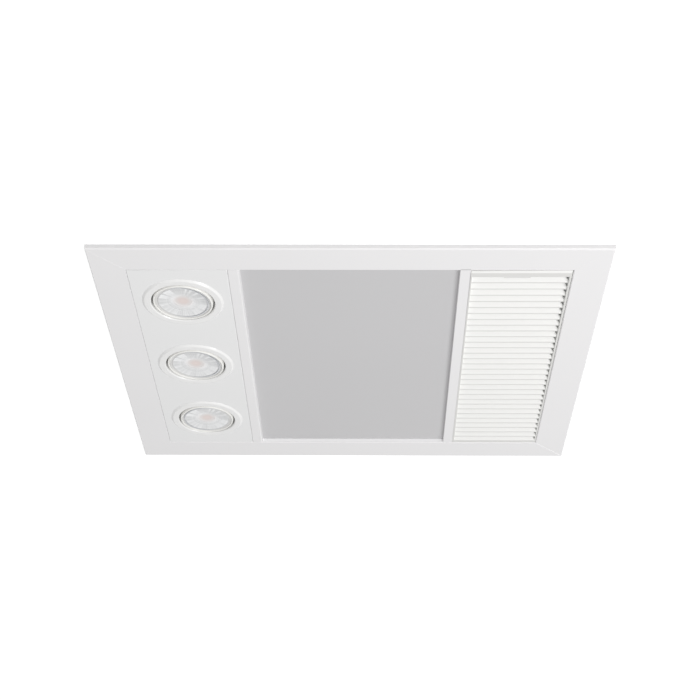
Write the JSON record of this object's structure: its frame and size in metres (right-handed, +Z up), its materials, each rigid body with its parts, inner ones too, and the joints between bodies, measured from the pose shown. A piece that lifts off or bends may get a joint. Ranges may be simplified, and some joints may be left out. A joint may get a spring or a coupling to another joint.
{
  "type": "bathroom ceiling heater",
  "caption": "Flush ceiling unit with tilting downlights, a radiant heater behind grey frosted glass and an extractor fan behind a louvred grille, in one white fascia.",
  "frame": {"origin": "centre of the four ceiling screws, on the ceiling plane where the housing's flange bears", "axes": "+Z up into the ceiling, +X along the fascia from the downlights to the air grille, +Y from the near edge in the picture to the far edge, where the duct leaves"},
  "size_m": [0.555, 0.489, 0.2537],
  "materials": {
    "white_moulding": "white satin moulding",
    "grille_moulding": "warm white satin moulding",
    "white_metal": "white powder coat",
    "plated_steel": "zinc plated",
    "spring_steel": "plain spring steel",
    "silicone": "white silicone",
    "grey_glass": "grey frosted",
    "galvanised": "galvanised sheet",
    "bright_aluminium": "bright rolled",
    "quartz": "clear quartz",
    "filament": "dark carbon",
    "ceramic_white": "unglazed steatite",
    "brushed_metal": "spun cap",
    "black_moulding": "black moulding",
    "motor_paint": "dark grey enamel",
    "grey_moulding": "light grey moulding",
    "white_nylon": "white nylon",
    "clear_lens": "clear polycarbonate",
    "led_phosphor": "phosphor on white ceramic",
    "cast_aluminium": "die cast",
    "capacitor_case": "dark case"
  },
  "bodies": {
    "root": {"fascia_frame": "white_moulding", "left_divider": "white_moulding", "right_divider": "white_moulding", "light_panel": "white_moulding", "fascia_clips": "spring_steel", "lamp_springs": "spring_steel", "glass_gasket": "silicone", "heater_glass": "grey_glass", "gimbal_pivots": "plated_steel", "ceiling_screws": "plated_steel", "housing": "galvanised", "mounting_flange": "galvanised", "left_partition": "galvanised", "right_partition": "galvanised", "heater_reflector": "bright_aluminium", "quartz_tubes": "quartz", "tube_filaments": "filament", "tube_caps": "ceramic_white", "tube_brackets": "galvanised", "thermal_cutout": "brushed_metal", "scroll_casing": "black_moulding", "motor_plate": "galvanised", "fan_motor": "motor_paint", "motor_bolts": "plated_steel", "duct_spigot": "grey_moulding", "shutter_pin": "plated_steel", "terminal_box": "grey_moulding", "terminal_cover": "grey_moulding", "cover_screws": "plated_steel", "terminal_block": "white_nylon", "cable_gland": "black_moulding", "gland_nut": "black_moulding", "led_drivers": "white_nylon", "motor_capacitor": "capacitor_case", "trim_ring_1": "white_metal", "trim_ring_2": "white_metal", "trim_ring_3": "white_metal"},
    "lamp_1": {"gimbal_ring_1": "white_metal", "lamp_lens_1": "clear_lens", "lamp_reflector_1": "bright_aluminium", "led_chip_1": "led_phosphor", "lamp_heatsink_1": "cast_aluminium"},
    "lamp_2": {"gimbal_ring_2": "white_metal", "lamp_lens_2": "clear_lens", "lamp_reflector_2": "bright_aluminium", "led_chip_2": "led_phosphor", "lamp_heatsink_2": "cast_aluminium"},
    "lamp_3": {"gimbal_ring_3": "white_metal", "lamp_lens_3": "clear_lens", "lamp_reflector_3": "bright_aluminium", "led_chip_3": "led_phosphor", "lamp_heatsink_3": "cast_aluminium"},
    "grille": {"air_grille": "grille_moulding", "grille_hinge_pins": "plated_steel"},
    "fan_rotor": {"impeller_disc": "black_moulding", "impeller_ring": "black_moulding", "impeller_blades": "black_moulding", "fan_shaft": "plated_steel"},
    "shutter": {"duct_shutter": "grey_moulding"}
  },
  "joints": [
    {"name": "lamp_1_tilt", "type": "hinge", "parent": "root", "child": "lamp_1", "pos_m": [-0.1849, -0.1344, -0.001], "axis": [0, 1, 0], "range_deg": [-29, 21]},
    {"name": "lamp_2_tilt", "type": "hinge", "parent": "root", "child": "lamp_2", "pos_m": [-0.1849, 0, -0.001], "axis": [0, 1, 0], "range_deg": [-29, 21]},
    {"name": "lamp_3_tilt", "type": "hinge", "parent": "root", "child": "lamp_3", "pos_m": [-0.1849, 0.1344, -0.001], "axis": [0, 1, 0], "range_deg": [-22.5, 27.5]},
    {"name": "grille_hinge", "type": "hinge", "parent": "root", "child": "grille", "pos_m": [0.1849, 0.1953, -0.0037], "axis": [1, 0, 0], "range_deg": [0, 90]},
    {"name": "fan_spin", "type": "hinge", "parent": "root", "child": "fan_rotor", "pos_m": [0.1759, 0.044, 0.099], "axis": [1, 0, 0], "continuous": true},
    {"name": "shutter_swing", "type": "hinge", "parent": "root", "child": "shutter", "pos_m": [0.1759, 0.24, 0.1502], "axis": [1, 0, 0], "range_deg": [0, 75]}
  ]
}
